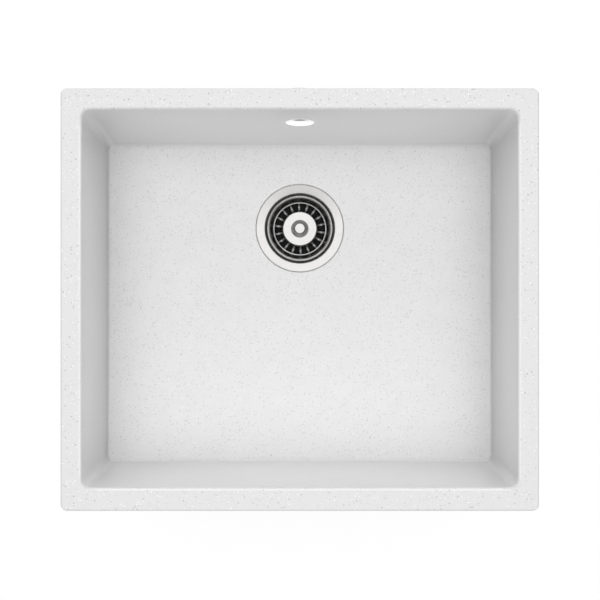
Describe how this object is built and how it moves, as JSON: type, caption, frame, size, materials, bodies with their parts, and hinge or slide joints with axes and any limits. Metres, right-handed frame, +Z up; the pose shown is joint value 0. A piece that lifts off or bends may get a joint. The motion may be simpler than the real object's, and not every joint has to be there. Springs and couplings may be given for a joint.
{
  "type": "kitchen sink",
  "caption": "rectangular single-bowl undermount sink in speckled granite composite, with a lift-out basket strainer waste and a hosed overflow",
  "frame": {"origin": "middle of the rim's top face, where the sink meets the underside of the worktop", "axes": "+Z up, +Y to the rear wall with the overflow, +X to the right seen from the front"},
  "size_m": [0.54, 0.486, 0.269],
  "materials": {
    "granite": "matte",
    "stainless": "satin",
    "steel": "satin",
    "brass": "satin",
    "light_plastic": "satin",
    "dark_plastic": "satin",
    "hose_plastic": "satin",
    "black_rubber": "matte",
    "grey_rubber": "matte"
  },
  "bodies": {
    "sink": {"sink_bowl": "granite", "waste_dish": "stainless", "clamp_screw": "steel", "overflow_screws": "steel", "clamp_nut": "brass", "rim_inserts": "brass", "overflow_inserts": "brass", "waste_body": "light_plastic", "overflow_elbow": "light_plastic", "elbow_union_nut": "dark_plastic", "port_union_nut": "dark_plastic", "overflow_hose": "hose_plastic", "flange_seal": "black_rubber", "body_gasket": "black_rubber", "overflow_gasket": "grey_rubber", "elbow_hose_seal": "grey_rubber", "port_hose_seal": "grey_rubber"},
    "basket_core": {"basket_hub": "light_plastic", "basket_seal": "black_rubber", "basket_stem": "steel", "stem_ring": "black_rubber", "basket_knob": "stainless"},
    "basket": {"basket_cup": "stainless"}
  },
  "joints": [
    {"name": "basket_lift", "type": "slide", "parent": "sink", "child": "basket_core", "axis": [0, 0, 1], "range_m": [0, 0.26]},
    {"name": "basket_turn", "type": "hinge", "parent": "basket_core", "child": "basket", "pos_m": [0, 0.09, -0.2], "axis": [0, 0, 1], "continuous": true}
  ]
}
